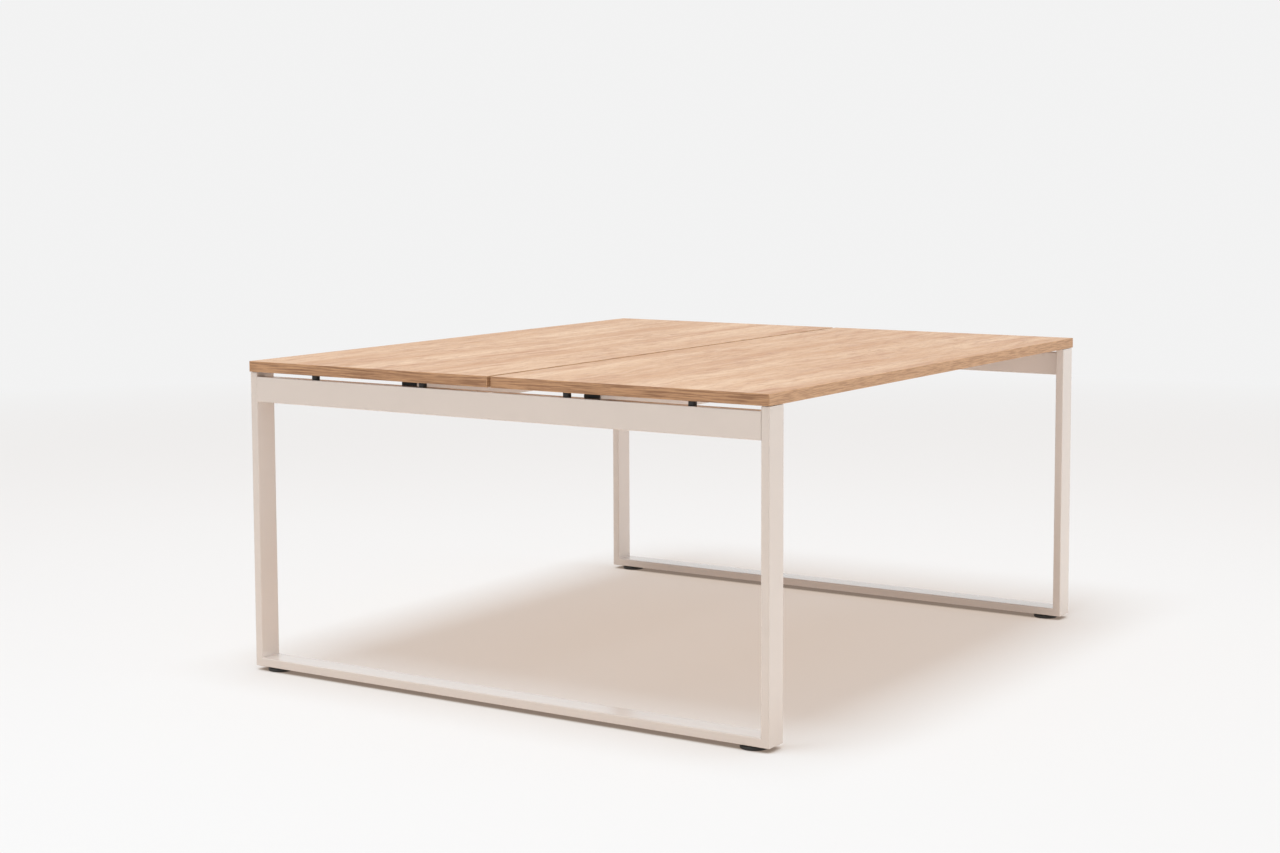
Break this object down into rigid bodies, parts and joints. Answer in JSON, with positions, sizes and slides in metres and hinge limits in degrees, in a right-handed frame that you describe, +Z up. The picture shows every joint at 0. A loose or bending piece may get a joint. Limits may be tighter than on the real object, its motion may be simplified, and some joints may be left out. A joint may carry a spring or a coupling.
{
  "type": "benching desk",
  "caption": "Benching desk with oak-effect worktops side by side over closed rectangular tube end frames, long tie beams and screw-adjusted levelling feet.",
  "frame": {"origin": "on the floor, under the middle of the desk", "axes": "+X along the desk towards the far end frame, +Y across it towards the left worktop, +Z up"},
  "size_m": [1.6, 1.41, 0.74],
  "materials": {
    "oak_face": "matt oak-effect melamine facing",
    "oak_edge": "matt oak-effect edge band",
    "frame_paint": "satin off-white powder coat",
    "black_paint": "matt black powder coat",
    "black_plastic": "moulded black plastic",
    "zinc_steel": "zinc-plated steel"
  },
  "bodies": {
    "root": {"worktop_right": "oak_face", "edge_band_right_inner": "oak_edge", "edge_band_right_outer": "oak_edge", "edge_band_right_near": "oak_edge", "edge_band_right_far": "oak_edge", "worktop_left": "oak_face", "edge_band_left_inner": "oak_edge", "edge_band_left_outer": "oak_edge", "edge_band_left_near": "oak_edge", "edge_band_left_far": "oak_edge", "leg_near_right": "frame_paint", "leg_near_left": "frame_paint", "floor_rail_near": "frame_paint", "end_beam_near": "frame_paint", "leg_far_right": "frame_paint", "leg_far_left": "frame_paint", "floor_rail_far": "frame_paint", "end_beam_far": "frame_paint", "long_beam_right": "frame_paint", "long_beam_left": "frame_paint", "bracket_near_right": "black_paint", "bracket_bolt_near_right_inner": "zinc_steel", "spacer_near_right_inner": "black_plastic", "worktop_screw_near_right_inner": "zinc_steel", "bracket_bolt_near_right_outer": "zinc_steel", "spacer_near_right_outer": "black_plastic", "worktop_screw_near_right_outer": "zinc_steel", "foot_insert_near_right": "zinc_steel", "bracket_near_left": "black_paint", "bracket_bolt_near_left_inner": "zinc_steel", "spacer_near_left_inner": "black_plastic", "worktop_screw_near_left_inner": "zinc_steel", "bracket_bolt_near_left_outer": "zinc_steel", "spacer_near_left_outer": "black_plastic", "worktop_screw_near_left_outer": "zinc_steel", "foot_insert_near_left": "zinc_steel", "bracket_far_right": "black_paint", "bracket_bolt_far_right_inner": "zinc_steel", "spacer_far_right_inner": "black_plastic", "worktop_screw_far_right_inner": "zinc_steel", "bracket_bolt_far_right_outer": "zinc_steel", "spacer_far_right_outer": "black_plastic", "worktop_screw_far_right_outer": "zinc_steel", "foot_insert_far_right": "zinc_steel", "bracket_far_left": "black_paint", "bracket_bolt_far_left_inner": "zinc_steel", "spacer_far_left_inner": "black_plastic", "worktop_screw_far_left_inner": "zinc_steel", "bracket_bolt_far_left_outer": "zinc_steel", "spacer_far_left_outer": "black_plastic", "worktop_screw_far_left_outer": "zinc_steel", "foot_insert_far_left": "zinc_steel"},
    "pad_near_right": {"foot_pad_near_right": "black_plastic"},
    "stud_near_right": {"foot_stud_near_right": "zinc_steel"},
    "pad_near_left": {"foot_pad_near_left": "black_plastic"},
    "stud_near_left": {"foot_stud_near_left": "zinc_steel"},
    "pad_far_right": {"foot_pad_far_right": "black_plastic"},
    "stud_far_right": {"foot_stud_far_right": "zinc_steel"},
    "pad_far_left": {"foot_pad_far_left": "black_plastic"},
    "stud_far_left": {"foot_stud_far_left": "zinc_steel"}
  },
  "joints": [
    {"name": "foot_extend_near_right", "type": "slide", "parent": "root", "child": "pad_near_right", "axis": [0, 0, -1], "range_m": [0, 0.009]},
    {"name": "foot_turn_near_right", "type": "hinge", "parent": "pad_near_right", "child": "stud_near_right", "pos_m": [-0.768, -0.652, 0.015], "axis": [0, 0, -1], "range_deg": [0, 2160]},
    {"name": "foot_extend_near_left", "type": "slide", "parent": "root", "child": "pad_near_left", "axis": [0, 0, -1], "range_m": [0, 0.009]},
    {"name": "foot_turn_near_left", "type": "hinge", "parent": "pad_near_left", "child": "stud_near_left", "pos_m": [-0.768, 0.652, 0.015], "axis": [0, 0, -1], "range_deg": [0, 2160]},
    {"name": "foot_extend_far_right", "type": "slide", "parent": "root", "child": "pad_far_right", "axis": [0, 0, -1], "range_m": [0, 0.009]},
    {"name": "foot_turn_far_right", "type": "hinge", "parent": "pad_far_right", "child": "stud_far_right", "pos_m": [0.768, -0.652, 0.015], "axis": [0, 0, -1], "range_deg": [0, 2160]},
    {"name": "foot_extend_far_left", "type": "slide", "parent": "root", "child": "pad_far_left", "axis": [0, 0, -1], "range_m": [0, 0.009]},
    {"name": "foot_turn_far_left", "type": "hinge", "parent": "pad_far_left", "child": "stud_far_left", "pos_m": [0.768, 0.652, 0.015], "axis": [0, 0, -1], "range_deg": [0, 2160]}
  ],
  "couplings": [
    {"joint": "foot_turn_near_right", "follows": "foot_extend_near_right", "rad_per_m": 4188.8},
    {"joint": "foot_turn_near_left", "follows": "foot_extend_near_left", "rad_per_m": 4188.8},
    {"joint": "foot_turn_far_right", "follows": "foot_extend_far_right", "rad_per_m": 4188.8},
    {"joint": "foot_turn_far_left", "follows": "foot_extend_far_left", "rad_per_m": 4188.8}
  ]
}
